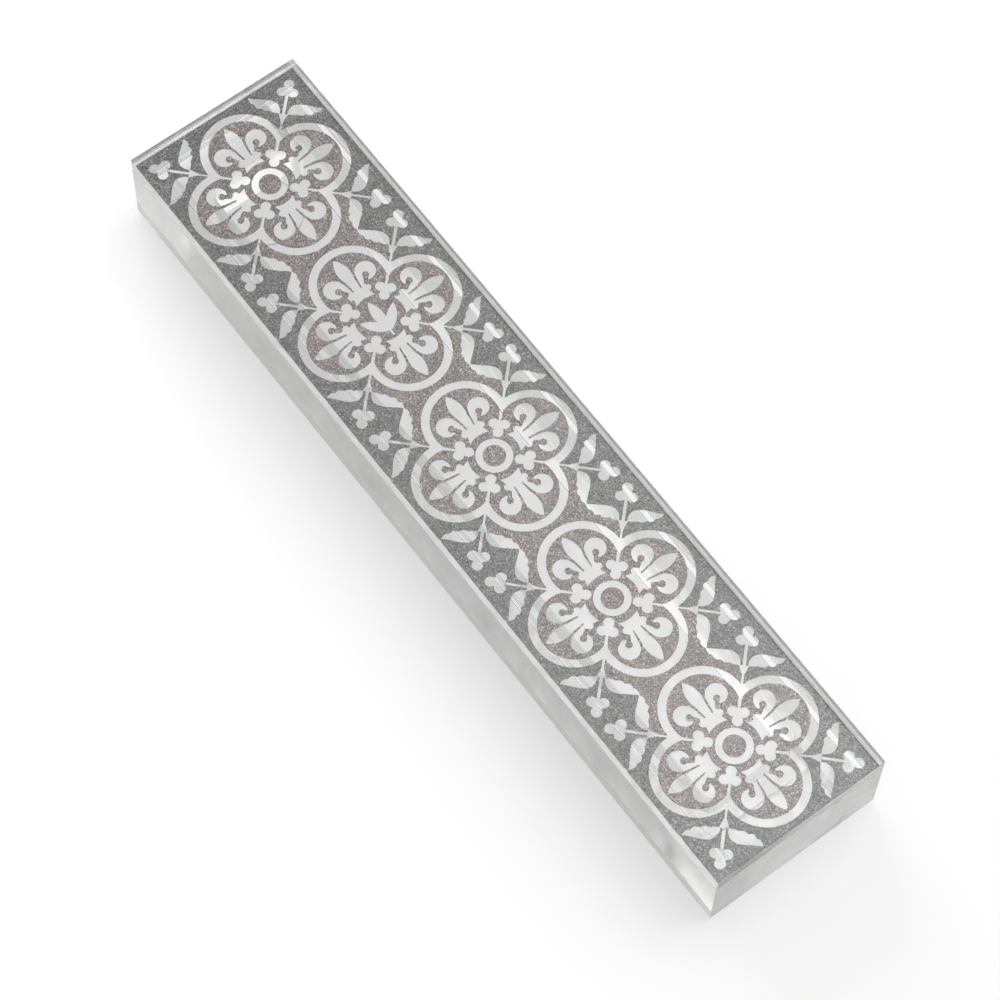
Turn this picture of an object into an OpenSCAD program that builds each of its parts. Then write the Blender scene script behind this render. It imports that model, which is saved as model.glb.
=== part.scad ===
// Doorpost scroll case laminated from clear acrylic sheets, with a sliding back cover.
// It lies on its back. X runs along the case with the lower end at +X, Y runs across it to the
// right-hand side, and Z points out of the decorated face. The origin is the middle of the back.

/* [Pattern] */
// Side of one square pattern tile, which sets the width of the case
tile = 29.6; // [28:0.1:32]
// Number of tiles in the row, which sets the length of the case
tile_count = 5; // [3:1:7]
// Tile that has a flower bud in its middle in place of the ring, counted from the upper end
bud_tile = 2; // [1:1:3]
// Clear distance from the outermost tiles to the edge of the case
margin = 1; // [0.8:0.1:2]
// Clear border that the print leaves along every edge
print_inset = 0.5; // [0.2:0.1:0.7]

/* [Sheets] */
// Thickness of the clear front sheet
front_thickness = 3; // [2:0.5:5]
// Thickness of the core block, which is the depth of the scroll channel
core_thickness = 10; // [8:0.5:14]
// Thickness of the rails and of the cover that slides between them
back_thickness = 3; // [2.5:0.5:4]
// Thickness of the glitter print
print_thickness = 0.15; // [0.1:0.05:0.3]
// Thickness of the clear film that bonds the print to the core
film_thickness = 0.15; // [0.1:0.05:0.3]

/* [Scroll channel] */
// Width of the channel
channel_width = 17; // [14:0.5:18]
// Thickness of the wall that closes the channel at each end
end_wall = 11; // [10:0.5:20]
// Radius in the corners of the channel
channel_corner = 2; // [1:0.5:4]

/* [Sliding cover] */
// Width of the core that the cover overlaps on each side of the channel
ledge = 1.7; // [1.5:0.1:2]
// How much narrower the gap between the rails is at the back than at the core, on each side
undercut = 1; // [0.6:0.1:1.5]
// Running clearance around the cover
cover_gap = 0.15; // [0.1:0.05:0.3]
// Length of the bar that stops the cover at the lower end
stop_length = 8; // [5:0.5:9]
// Diameter of the thumb recess in the cover
recess_diameter = 12; // [8:1:14]
// Depth of the thumb recess
recess_depth = 1; // [0.5:0.1:1.5]
// Distance from the upper end of the case to the middle of the recess
recess_setback = 14; // [10:1:30]

/* [Mounting tape] */
// Width of each tape strip
tape_width = 5; // [3:0.5:5.5]
// Thickness of the foam tape
tape_thickness = 0.6; // [0.4:0.1:1.2]
// Thickness of the release liner
liner_thickness = 0.1; // [0.05:0.05:0.2]
// Distance from the ends of a tape strip to the ends of the case
tape_setback = 5; // [3:1:12]
// Length of the pull tab by which a liner passes the end of its tape
pull_tab = 3; // [1:0.5:3]

/* [Hidden] */
$fn = 48;

case_length = tile_count * tile + 2 * margin;
case_width = tile + 2 * margin;
half_length = case_length / 2;
half_width = case_width / 2;

// Heights of the layers above the doorpost
back_z = liner_thickness + tape_thickness;
core_z = back_z + back_thickness;
film_z = core_z + core_thickness;
print_z = film_z + film_thickness;
front_z = print_z + print_thickness;

// Half widths of the gap between the rails, next to the core and at the back
gap_top = channel_width / 2 + ledge;
gap_bottom = gap_top - undercut;

cover_length = case_length - stop_length - cover_gap;
tape_length = case_length - 2 * tape_setback;
tape_y = (gap_bottom + half_width) / 2;

clear_acrylic = [0.87, 0.91, 0.89, 0.4];
cool_glitter = [0.53, 0.53, 0.52];
warm_glitter = [0.6, 0.57, 0.56];
foam_tape = [0.93, 0.93, 0.9];
liner_paper = [0.95, 0.94, 0.9];

// The pattern is drawn on a tile of this size and scaled to the tile of the case.
drawn_tile = 29.6;
drawn_half = drawn_tile / 2;

// Quatrefoil: four lobes with a band of clear window around each
lobe_offset = 7.3;
band_outer = 6.95;
band_inner = 5.6;
ring_outer = 2.93;
ring_inner = 1.8;

// Leaf of the corner sprigs
leaf_base = [8.7, 9.55];
leaf_length = 5.9;
leaf_angle = 113.6;
leaf_belly = 1.55;
leaf_edge = 0.95;
leaf_teeth = 4;
leaf_steps = 24;

// ---- Helpers ----

// Sheet of the given thickness whose back lies at height z
module sheet(z, thickness) {
    translate([0, 0, z])
        linear_extrude(thickness)
            children();
}

// Extrudes a section drawn with Y to the right and Z up, along X
module along_x(x, length) {
    translate([x, 0, 0])
        rotate([90, 0, 90])
            linear_extrude(length)
                children();
}

// Outline of the whole case, drawn in by an inset
module case_outline(inset = 0) {
    square([case_length - 2 * inset, case_width - 2 * inset], center = true);
}

// Pointed petal made of two arcs, with its ends at 0 and length on X
module petal(length, half_breadth) {
    radius = (pow(length / 2, 2) + pow(half_breadth, 2)) / (2 * half_breadth);
    shift = radius - half_breadth;
    intersection() {
        translate([length / 2, shift])
            circle(radius, $fn = 96);
        translate([length / 2, -shift])
            circle(radius, $fn = 96);
    }
}

// Repeats its children towards the four sides of the tile
module four_times() {
    for (turn = [0:3])
        rotate(90 * turn)
            children();
}

// Draws its children and their mirror image in the diagonal of the tile
module both_sides_of_diagonal() {
    children();
    mirror([1, -1])
        children();
}

// ---- Pattern of one tile ----

// Four overlapping lobes of the given radius
module quatrefoil(radius) {
    square(lobe_offset, center = true);
    four_times()
        translate([lobe_offset, 0])
            circle(radius, $fn = 96);
}

// Ring in the middle of the quatrefoil
module ring() {
    difference() {
        circle(ring_outer);
        circle(ring_inner);
    }
}

// Three discs around a middle one, opening away from the middle of the tile
module trefoil(centre, reach, radius) {
    translate(centre)
        rotate(45) {
            circle(radius);
            for (turn = [0, 120, 240])
                rotate(turn)
                    translate([reach, 0])
                        circle(radius);
        }
}

// Trefoil between two fleurs, with a stalk that reaches to the cusp between two lobes
module inner_trefoil() {
    trefoil([3.52, 3.52], -0.97, 0.85);
    polygon([[3.9, 4.15], [4.15, 3.9], [5.8, 5.4], [5.4, 5.8]]);
}

// Fleur-de-lis that points along +Y from the middle of the tile
module fleur() {
    knot_low = 4.9;
    knot_high = 6.05;
    knot_half = 1.6;
    // Middle petal on its stalk
    translate([0, 6.8])
        rotate(90)
            petal(5.75, 1.1);
    polygon([[-0.5, knot_low], [0.5, knot_low], [0.85, 8.4], [-0.85, 8.4]]);
    // Knot with rounded ends, and the foot below it
    translate([-knot_half, knot_low])
        square([2 * knot_half, knot_high - knot_low]);
    for (side = [-1, 1]) {
        translate([side * knot_half, (knot_low + knot_high) / 2])
            circle((knot_high - knot_low) / 2 - 0.02);
        on_side(side)
            curled_petal(knot_high - 0.1);
    }
    difference() {
        polygon([[-1.45, knot_low + 0.1], [1.45, knot_low + 0.1], [1.85, 3.6], [-1.85, 3.6]]);
        circle(4.15);
    }
}

// Draws its children, which lie on the right, on the side that is 1 or -1
module on_side(side) {
    mirror([side < 0 ? 1 : 0, 0])
        children();
}

// Side petal of the fleur, rolled outwards around an open eye
module curled_petal(root) {
    eye = [2.62, 7.5];
    difference() {
        union() {
            translate([3.05, 8.15])
                circle(1.7);
            polygon([[0.8, root], [1.65, root], [2, 7.4], [2.3, 9.6], [1.5, 9.05], [1.15, 8]]);
        }
        translate(eye)
            circle(0.55);
        translate(eye)
            rotate(237)
                translate([0, -0.35])
                    square([1.6, 0.7]);
    }
}

// Points along one edge of the leaf: how far out it bulges, where, and how deep its teeth are
function leaf_side(bulge, skew, fullness, tooth) = [
    for (step = [0:leaf_steps])
        let (
            along = step / leaf_steps,
            swell = pow(sin(180 * pow(along, skew)), fullness),
            notch = 1 - tooth * (1 - abs(sin(180 * leaf_teeth * along)))
        )
        [leaf_length * along, bulge * swell * notch]
];

// The same list from its last item to its first
function reversed(list) = [for (index = [len(list) - 1:-1:0]) list[index]];

// Leaf with one smooth edge and one toothed edge
module leaf() {
    belly = leaf_side(-leaf_belly, 0.6, 1.25, 0);
    teeth = leaf_side(leaf_edge, 1.5, 0.7, 0.35);
    inner_teeth = [for (index = [1:leaf_steps - 1]) teeth[index]];
    translate(leaf_base)
        rotate(leaf_angle)
            polygon(concat(belly, reversed(inner_teeth)));
}

// Sprig that grows out of the cusp between two lobes towards the corner of the tile
module sprig() {
    polygon([[6.4, 6.65], [6.65, 6.4], [8.2, 7.95], [9.75, 8.65], [8.65, 9.75], [7.95, 8.2]]);
    polygon([[8.9, 9.25], [9.25, 8.9], [12, 11.65], [11.65, 12]]);
    trefoil([12.42, 12.42], 1.03, 0.87);
    both_sides_of_diagonal()
        leaf();
}

// Flower bud of three petals, which points to the upper end of the case
module bud() {
    root = 2.6;
    translate([root, 0])
        rotate(180) {
            petal(6, 0.95);
            for (side = [-1, 1])
                rotate(side * 42)
                    translate([-0.3, 0])
                        petal(5.2, 0.85);
        }
    translate([root - 1, -0.2])
        square([2.1, 0.4]);
}

// Clear figures inside a quatrefoil
module inner_figures(has_bud) {
    if (has_bud)
        bud();
    else
        ring();
    four_times() {
        fleur();
        inner_trefoil();
    }
}

// Zone of a tile that lies between the sprigs, from the lobes to the neighbouring tile
module diamond_half() {
    // The zone ends along the ribs of the two leaves, a little past the edge of the tile.
    edge = drawn_half + 0.01;
    rib_y = leaf_base.x + (edge - leaf_base.y) / tan(leaf_angle);
    upper = [[9, 9], [leaf_base.y, leaf_base.x], [edge, rib_y]];
    lower = [for (point = reversed(upper)) [point.x, -point.y]];
    polygon(concat([[0, 0]], upper, lower));
}

// ---- The row of tiles ----

// Repeats its children in the tiles from the first to the last, scaled to their size
module in_each_tile(first = 1, last = tile_count) {
    for (index = [first:last])
        translate([(index - (tile_count + 1) / 2) * tile, 0])
            scale(tile / drawn_tile)
                children();
}

// Sprigs in the four corners of every tile
module every_sprig() {
    in_each_tile()
        four_times()
            sprig();
}

// Diamond zones between neighbouring tiles
module every_diamond() {
    in_each_tile(first = 1, last = tile_count - 1)
        diamond_half();
    in_each_tile(first = 2, last = tile_count)
        rotate(180)
            diamond_half();
}

// ---- Parts ----

// Clear sheet over the print
module front_sheet() {
    color(clear_acrylic)
        sheet(front_z, front_thickness)
            case_outline();
}

// Cool grey glitter around the quatrefoils and sprigs
module glitter_border() {
    color(cool_glitter)
        sheet(print_z, print_thickness)
            difference() {
                case_outline(print_inset);
                in_each_tile()
                    quatrefoil(band_outer);
                every_diamond();
                every_sprig();
            }
}

// Warm grey glitter inside the quatrefoils and in the diamonds between them
module glitter_motifs() {
    color(warm_glitter)
        sheet(print_z, print_thickness) {
            for (index = [1:tile_count])
                in_each_tile(first = index, last = index)
                    difference() {
                        quatrefoil(band_inner);
                        inner_figures(index == bud_tile);
                    }
            difference() {
                every_diamond();
                in_each_tile()
                    quatrefoil(band_outer);
                every_sprig();
            }
        }
}

// Clear film between the print and the core
module bonding_film() {
    color(clear_acrylic)
        sheet(film_z, film_thickness)
            case_outline();
}

// Core with the scroll channel cut right through it
module core_block() {
    channel_length = case_length - 2 * end_wall;
    across = [channel_length - 2 * channel_corner, channel_width];
    along = [channel_length, channel_width - 2 * channel_corner];
    color(clear_acrylic)
        sheet(core_z, core_thickness)
            difference() {
                case_outline();
                square(across, center = true);
                square(along, center = true);
                for (x = [-1, 1])
                    for (y = [-1, 1])
                        translate([x * across.x / 2, y * along.y / 2])
                            circle(channel_corner);
            }
}

// Rail with a sloping inner face that keeps the cover from dropping out; side is -1 or 1
module rail(side) {
    color(clear_acrylic)
        along_x(-half_length, case_length)
            polygon([
                [side * gap_bottom, back_z], [side * half_width, back_z],
                [side * half_width, core_z], [side * gap_top, core_z]
            ]);
}

module left_rail() {
    rail(-1);
}

module right_rail() {
    rail(1);
}

// Bar between the rails at the lower end, against which the cover closes
module end_stop() {
    color(clear_acrylic)
        along_x(half_length - stop_length, stop_length)
            polygon([
                [-gap_bottom, back_z], [gap_bottom, back_z],
                [gap_top, core_z], [-gap_top, core_z]
            ]);
}

// Cover that slides out at the upper end, with a round recess for the thumb
module sliding_cover() {
    color(clear_acrylic)
        difference() {
            along_x(-half_length, cover_length)
                polygon([
                    [cover_gap - gap_bottom, back_z], [gap_bottom - cover_gap, back_z],
                    [gap_top - cover_gap, core_z - cover_gap], [cover_gap - gap_top, core_z - cover_gap]
                ]);
            translate([recess_setback - half_length, 0, back_z - recess_depth])
                cylinder(2 * recess_depth, d = recess_diameter);
        }
}

// Strip of foam tape along the back; side is -1 or 1
module tape(side) {
    color(foam_tape)
        sheet(liner_thickness, tape_thickness)
            translate([0, side * tape_y])
                square([tape_length, tape_width], center = true);
}

module left_tape() {
    tape(-1);
}

module right_tape() {
    tape(1);
}

// Release liner of one tape, with a pull tab at the upper end; side is -1 or 1
module liner(side) {
    color(liner_paper)
        sheet(0, liner_thickness)
            translate([-pull_tab / 2, side * tape_y])
                square([tape_length + pull_tab, tape_width], center = true);
}

module left_liner() {
    liner(-1);
}

module right_liner() {
    liner(1);
}

front_sheet();
glitter_border();
glitter_motifs();
bonding_film();
core_block();
left_rail();
right_rail();
end_stop();
sliding_cover();
left_tape();
right_tape();
left_liner();
right_liner();
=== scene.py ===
"""Looks of a doorpost scroll case of laminated clear acrylic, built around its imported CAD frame."""
import math

import bmesh
import bpy
from mathutils import Matrix, Vector


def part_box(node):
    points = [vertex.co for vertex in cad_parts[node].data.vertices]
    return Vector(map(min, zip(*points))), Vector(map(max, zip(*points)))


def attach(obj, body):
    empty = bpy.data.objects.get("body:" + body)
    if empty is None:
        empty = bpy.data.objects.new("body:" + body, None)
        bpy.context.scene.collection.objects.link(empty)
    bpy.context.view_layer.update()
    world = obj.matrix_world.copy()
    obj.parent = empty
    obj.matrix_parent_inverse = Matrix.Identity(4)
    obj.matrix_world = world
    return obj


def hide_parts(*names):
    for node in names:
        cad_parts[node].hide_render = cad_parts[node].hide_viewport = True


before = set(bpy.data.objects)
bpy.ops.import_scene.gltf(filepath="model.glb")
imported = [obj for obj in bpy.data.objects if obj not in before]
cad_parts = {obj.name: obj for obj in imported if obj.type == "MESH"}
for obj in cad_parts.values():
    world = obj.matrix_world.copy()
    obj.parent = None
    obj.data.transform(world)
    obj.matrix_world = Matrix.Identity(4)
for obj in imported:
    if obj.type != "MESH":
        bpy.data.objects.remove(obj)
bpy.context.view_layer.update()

MM = 0.001

# Camera
CAMERA_TARGET = Vector((6.6, -3.9, 15.3)) * MM
CAMERA_DISTANCE = 563.5 * MM
CAMERA_AZIMUTH = 50.8
CAMERA_ELEVATION = 65.4
CAMERA_ROLL = 2.43
CAMERA_LENS = 133.0
CAMERA_SENSOR = 36.0

# Clear pieces
ACRYLIC_IOR = 1.49
BONDED_IOR = 1.12           # tape stuck down without air hardly reflects at its faces
POLISHED_EDGE = 0.15 * MM
TAPE_EDGE = 0.1 * MM
LINER_EDGE = 0.02 * MM
SEAM = 0.02 * MM            # air left where one sheet lies on another

# Print
COOL_INK = (0.22, 0.22, 0.216)
WARM_INK = (0.33, 0.287, 0.269)
FLAKE_SIZE = 0.16 * MM

# Studio
TABLE_HALF = 3.0
TABLE_WHITE = 0.49
TABLE_GLOW = 0.52
WALL_LIGHT = 1.35           # at the horizon
CEILING_LIGHT = 0.4
SOFTBOX_SPOT = (0.08, 0.5, 0.87)
SOFTBOX_EDGE = 0.8          # cosine of the angle from its middle to its rim
SOFTBOX_LIGHT = 2.2
KEY_SPOT = (-0.54, 0.1, 0.28)
KEY_AIM = (0.05, 0.0, 0.0)
KEY_SIZE = 0.5
KEY_POWER = 2.2
BOUNCES = 32                # light passes many faces on its way through the stack


# ---- Node helpers ----

def node_material(name):
    """A material with only an output and a Principled shader joined to it."""
    material = bpy.data.materials.new(name)
    material.use_nodes = True
    tree = material.node_tree
    tree.nodes.clear()
    output = tree.nodes.new("ShaderNodeOutputMaterial")
    shader = tree.nodes.new("ShaderNodeBsdfPrincipled")
    tree.links.new(shader.outputs["BSDF"], output.inputs["Surface"])
    return material, tree, shader


def add_node(tree, kind, settings, inputs):
    """A node with its settings; each input is either joined to a socket or set to a value."""
    node = tree.nodes.new(kind)
    for key, value in settings.items():
        setattr(node, key, value)
    for key, value in inputs.items():
        set_input(tree, node.inputs[key], value)
    return node


def set_input(tree, socket, value):
    if isinstance(value, bpy.types.NodeSocket):
        tree.links.new(value, socket)
    else:
        socket.default_value = value


def object_place(tree):
    return add_node(tree, "ShaderNodeTexCoord", {}, {}).outputs["Object"]


def maths(tree, operation, first, second=0.0):
    return add_node(tree, "ShaderNodeMath", {"operation": operation}, {0: first, 1: second}).outputs[0]


def remap(tree, value, low, high, new_low, new_high):
    inputs = {"Value": value, "From Min": low, "From Max": high, "To Min": new_low, "To Max": new_high}
    return add_node(tree, "ShaderNodeMapRange", {}, inputs).outputs["Result"]


def noise(tree, place, size, detail=3.0):
    """Soft noise whose spots are about the given size across."""
    inputs = {"Vector": place, "Scale": 1.0 / size, "Detail": detail}
    return add_node(tree, "ShaderNodeTexNoise", {}, inputs).outputs["Fac"]


def cells(tree, place, size):
    """Random cells of about the given size."""
    return add_node(tree, "ShaderNodeTexVoronoi", {}, {"Vector": place, "Scale": 1.0 / size})


def mix(tree, share, first, second):
    return add_node(tree, "ShaderNodeMixRGB", {}, {"Fac": share, 1: first, 2: second}).outputs[0]


def ramp(tree, value, stops):
    """A colour ramp; each stop is a place from 0 to 1 and a colour."""
    node = add_node(tree, "ShaderNodeValToRGB", {}, {"Fac": value})
    elements = node.color_ramp.elements
    while len(elements) < len(stops):
        elements.new(0.5)
    for element, (place, colour) in zip(elements, stops):
        element.position = place
        element.color = (*colour, 1.0)
    return node.outputs["Color"]


def face_normal_z(tree):
    normal = add_node(tree, "ShaderNodeNewGeometry", {}, {}).outputs["Normal"]
    return add_node(tree, "ShaderNodeSeparateXYZ", {}, {"Vector": normal}).outputs["Z"]


def bump(tree, height, strength, distance):
    inputs = {"Height": height, "Strength": strength, "Distance": distance}
    return add_node(tree, "ShaderNodeBump", {}, inputs).outputs["Normal"]


# ---- Materials ----

def clear_acrylic():
    """Cast acrylic: polished faces, and sawn edges that are satin, slightly wavy and faintly green."""
    material, tree, shader = node_material("clear_acrylic")
    place = object_place(tree)
    is_edge = remap(tree, maths(tree, "ABSOLUTE", face_normal_z(tree)), 0.3, 0.6, 1.0, 0.0)

    smudges = remap(tree, noise(tree, place, 12 * MM), 0.45, 0.8, 0.0, 0.04)
    sawn = remap(tree, noise(tree, place, 2 * MM), 0.3, 0.7, 0.3, 0.42)
    edge_roughness = maths(tree, "MULTIPLY", sawn, is_edge)
    set_input(tree, shader.inputs["Roughness"], maths(tree, "ADD", smudges, edge_roughness))

    clouds = noise(tree, place, 15 * MM)
    face_tint = ramp(tree, clouds, [(0.35, (0.99, 0.996, 0.992)), (0.65, (0.998, 0.998, 1.0))])
    edge_tint = ramp(tree, clouds, [(0.35, (0.985, 0.995, 0.972)), (0.65, (0.997, 1.0, 0.992))])
    set_input(tree, shader.inputs["Base Color"], mix(tree, is_edge, face_tint, edge_tint))

    waves = maths(tree, "MULTIPLY", noise(tree, place, 3 * MM), is_edge)
    set_input(tree, shader.inputs["Normal"], bump(tree, waves, 0.15, 0.15 * MM))
    shader.inputs["IOR"].default_value = ACRYLIC_IOR
    shader.inputs["Transmission Weight"].default_value = 1.0
    return material


def glitter(name, colour):
    """Printed glitter on a white undercoat: flakes that differ in brightness and tilt, in a cloudy ink."""
    material, tree, shader = node_material(name)
    place = object_place(tree)
    flakes = cells(tree, place, FLAKE_SIZE)
    chances = add_node(tree, "ShaderNodeSeparateColor", {}, {"Color": flakes.outputs["Color"]})
    dark = [0.2 * c for c in colour]
    light = [2.6 * c for c in colour]
    shades = [(0.0, dark), (0.45, colour), (0.75, colour), (1.0, light)]
    flake_colour = ramp(tree, chances.outputs["Red"], shades)
    clouds = noise(tree, place, 1.5 * MM)
    inked = add_node(tree, "ShaderNodeVectorMath", {"operation": "SCALE"},
                     {0: flake_colour, "Scale": remap(tree, clouds, 0.3, 0.7, 0.9, 1.1)})
    undercoat = ramp(tree, clouds, [(0.3, (0.84, 0.84, 0.83)), (0.7, (0.92, 0.92, 0.91))])
    facing_down = maths(tree, "LESS_THAN", face_normal_z(tree), -0.5)
    set_input(tree, shader.inputs["Base Color"], mix(tree, facing_down, inked.outputs[0], undercoat))
    set_input(tree, shader.inputs["Roughness"], remap(tree, chances.outputs["Green"], 0.0, 1.0, 0.25, 0.55))
    set_input(tree, shader.inputs["Normal"], bump(tree, chances.outputs["Blue"], 0.6, 0.05 * MM))
    shader.inputs["Metallic"].default_value = 0.35
    return material


def foam_tape():
    """Clear acrylic foam, slightly milky with fine bubbles."""
    material, tree, shader = node_material("foam_tape")
    distance = cells(tree, object_place(tree), 0.35 * MM).outputs["Distance"]
    shade = ramp(tree, distance, [(0.0, (0.985, 0.99, 0.98)), (0.6, (1.0, 1.0, 1.0))])
    set_input(tree, shader.inputs["Base Color"], shade)
    set_input(tree, shader.inputs["Roughness"], remap(tree, distance, 0.0, 0.6, 0.05, 0.12))
    set_input(tree, shader.inputs["Normal"], bump(tree, distance, 0.4, 0.05 * MM))
    shader.inputs["IOR"].default_value = BONDED_IOR
    shader.inputs["Transmission Weight"].default_value = 1.0
    return material


def liner_paper():
    """Thin glazed release film, nearly clear, with faint fibres."""
    material, tree, shader = node_material("liner_paper")
    along_the_case = {"Vector": object_place(tree), "Scale": (0.12, 1.0, 1.0)}
    stretched = add_node(tree, "ShaderNodeMapping", {}, along_the_case)
    fibres = noise(tree, stretched.outputs["Vector"], 0.4 * MM, 5.0)
    shade = ramp(tree, fibres, [(0.3, (0.98, 0.978, 0.97)), (0.7, (1.0, 1.0, 0.995))])
    set_input(tree, shader.inputs["Base Color"], shade)
    set_input(tree, shader.inputs["Roughness"], remap(tree, fibres, 0.3, 0.7, 0.08, 0.2))
    set_input(tree, shader.inputs["Normal"], bump(tree, fibres, 0.2, 0.02 * MM))
    shader.inputs["IOR"].default_value = BONDED_IOR
    shader.inputs["Transmission Weight"].default_value = 0.95
    return material


# ---- Pieces ----

def solid_copy(node, bonded_node=None):
    """The node's own mesh, made one with a node bonded on top of it, its flat faces whole again."""
    bm = bmesh.new()
    bm.from_mesh(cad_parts[node].data)
    if bonded_node:
        bm.from_mesh(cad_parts[bonded_node].data)
        open_joint(bm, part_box(bonded_node)[0].z)
    bmesh.ops.remove_doubles(bm, verts=bm.verts, dist=0.001 * MM)
    bmesh.ops.edgeloop_fill(bm, edges=[edge for edge in bm.edges if edge.is_boundary])
    bmesh.ops.dissolve_limit(bm, angle_limit=math.radians(1.0), verts=bm.verts, edges=bm.edges)
    bmesh.ops.recalc_face_normals(bm, faces=bm.faces)
    return bm


def open_joint(bm, height):
    """Takes away the faces that lie flat at the height where two solids touch."""
    def lies_there(face):
        return all(abs(v.co.z - height) < SEAM / 2 for v in face.verts)

    touching = [face for face in bm.faces if lies_there(face)]
    bmesh.ops.delete(bm, geom=touching, context="FACES")


def shrink(bm, distance):
    """Moves every face of the solid inwards by the distance."""
    bm.normal_update()
    moves = [(v, v.normal * v.calc_shell_factor() * distance) for v in bm.verts]
    for v, move in moves:
        v.co -= move


def add_piece(bm, node, body, material, edge):
    """A piece with softened edges that stands for a CAD node and rides on its body."""
    shrink(bm, SEAM / 2)
    mesh = bpy.data.meshes.new(node + "_look")
    bm.to_mesh(mesh)
    bm.free()
    mesh.materials.append(material)
    piece = bpy.data.objects.new(node + "_look", mesh)
    bpy.context.scene.collection.objects.link(piece)
    bevel = piece.modifiers.new("softened edges", "BEVEL")
    bevel.width = edge
    bevel.segments = 3
    bevel.limit_method = "ANGLE"
    bevel.angle_limit = math.radians(30.0)
    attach(piece, body)
    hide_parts(node)
    return piece


def add_acrylic(material):
    bodies = {"front_sheet": "case", "left_rail": "case", "right_rail": "case", "end_stop": "case",
              "sliding_cover": "cover"}
    for node, body in bodies.items():
        add_piece(solid_copy(node), node, body, material, POLISHED_EDGE)


def add_core(material):
    """The core and its bonding film are one clear solid."""
    bm = solid_copy("core_block", "bonding_film")
    core = add_piece(bm, "core_block", "case", material, POLISHED_EDGE)
    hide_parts("bonding_film")


def add_tapes():
    tape = foam_tape()
    liner = liner_paper()
    for side in ("left", "right"):
        add_piece(solid_copy(side + "_tape"), side + "_tape", "case", tape, TAPE_EDGE)
        add_piece(solid_copy(side + "_liner"), side + "_liner", "case", liner, LINER_EDGE)


def paint_print():
    """The printed layers are shown as the CAD has them, in glitter ink."""
    inks = {"glitter_border": glitter("cool_glitter_print", COOL_INK),
            "glitter_motifs": glitter("warm_glitter_print", WARM_INK)}
    for node, ink in inks.items():
        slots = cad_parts[node].data.materials
        slots.clear()
        slots.append(ink)


# ---- Studio ----

def add_floor():
    corners = [(x * TABLE_HALF, y * TABLE_HALF, 0.0) for x, y in ((-1, -1), (1, -1), (1, 1), (-1, 1))]
    bm = bmesh.new()
    bm.faces.new([bm.verts.new(corner) for corner in corners])
    mesh = bpy.data.meshes.new("floor")
    bm.to_mesh(mesh)
    bm.free()
    material, tree, shader = node_material("white_floor")
    shader.inputs["Base Color"].default_value = (TABLE_WHITE, TABLE_WHITE, TABLE_WHITE, 1.0)
    shader.inputs["Roughness"].default_value = 0.8
    shader.inputs["Specular IOR Level"].default_value = 0.2
    shader.inputs["Emission Color"].default_value = (1.0, 1.0, 1.0, 1.0)
    shader.inputs["Emission Strength"].default_value = TABLE_GLOW
    mesh.materials.append(material)
    floor = bpy.data.objects.new("floor", mesh)
    bpy.context.scene.collection.objects.link(floor)


def add_lamp(name, spot, aim, size, power):
    data = bpy.data.lights.new(name, "AREA")
    data.shape = "DISK"
    data.size = size
    data.energy = power
    lamp = bpy.data.objects.new(name, data)
    lamp.location = spot
    lamp.rotation_euler = (Vector(aim) - Vector(spot)).to_track_quat("-Z", "Y").to_euler()
    bpy.context.scene.collection.objects.link(lamp)


def light_studio():
    """Walls brightest low down, a wide soft patch overhead, and one low lamp past the upper end."""
    scene = bpy.context.scene
    scene.world = bpy.data.worlds.new("studio")
    scene.world.use_nodes = True
    tree = scene.world.node_tree
    direction = add_node(tree, "ShaderNodeTexCoord", {}, {}).outputs["Generated"]
    height = add_node(tree, "ShaderNodeSeparateXYZ", {}, {"Vector": direction}).outputs["Z"]
    levels = ((0.0, WALL_LIGHT), (0.2, 0.75 * WALL_LIGHT), (0.5, CEILING_LIGHT))
    walls = ramp(tree, height, [(place, [level] * 3) for place, level in levels])
    toward = add_node(tree, "ShaderNodeVectorMath", {"operation": "DOT_PRODUCT"},
                      {0: direction, 1: Vector(SOFTBOX_SPOT).normalized()}).outputs["Value"]
    fade = {"Value": toward, "From Min": SOFTBOX_EDGE, "From Max": 1.0, "To Max": SOFTBOX_LIGHT}
    softbox = add_node(tree, "ShaderNodeMapRange", {"interpolation_type": "SMOOTHSTEP"}, fade)
    both = {0: walls, 1: softbox.outputs["Result"]}
    total = add_node(tree, "ShaderNodeVectorMath", {"operation": "ADD"}, both).outputs[0]
    set_input(tree, tree.nodes["Background"].inputs["Color"], total)
    add_lamp("key", KEY_SPOT, KEY_AIM, KEY_SIZE, KEY_POWER)
    scene.view_settings.view_transform = "Standard"
    scene.cycles.max_bounces = BOUNCES
    scene.cycles.transmission_bounces = BOUNCES
    scene.cycles.glossy_bounces = BOUNCES


def add_camera():
    data = bpy.data.cameras.new("camera")
    data.lens = CAMERA_LENS
    data.sensor_width = CAMERA_SENSOR
    data.clip_start = 0.01
    azimuth = math.radians(CAMERA_AZIMUTH)
    elevation = math.radians(CAMERA_ELEVATION)
    back = Vector((math.sin(azimuth) * math.cos(elevation),
                   -math.cos(azimuth) * math.cos(elevation),
                   math.sin(elevation)))
    camera = bpy.data.objects.new("camera", data)
    upright = back.to_track_quat("Z", "Y").to_matrix()
    turn = Matrix.Rotation(math.radians(CAMERA_ROLL), 3, "Z")
    place = Matrix.Translation(CAMERA_TARGET + CAMERA_DISTANCE * back)
    camera.matrix_world = place @ (upright @ turn).to_4x4()
    bpy.context.scene.collection.objects.link(camera)
    bpy.context.scene.camera = camera


def build():
    add_floor()
    light_studio()
    add_camera()
    acrylic = clear_acrylic()
    add_acrylic(acrylic)
    add_core(acrylic)
    add_tapes()
    paint_print()


build()
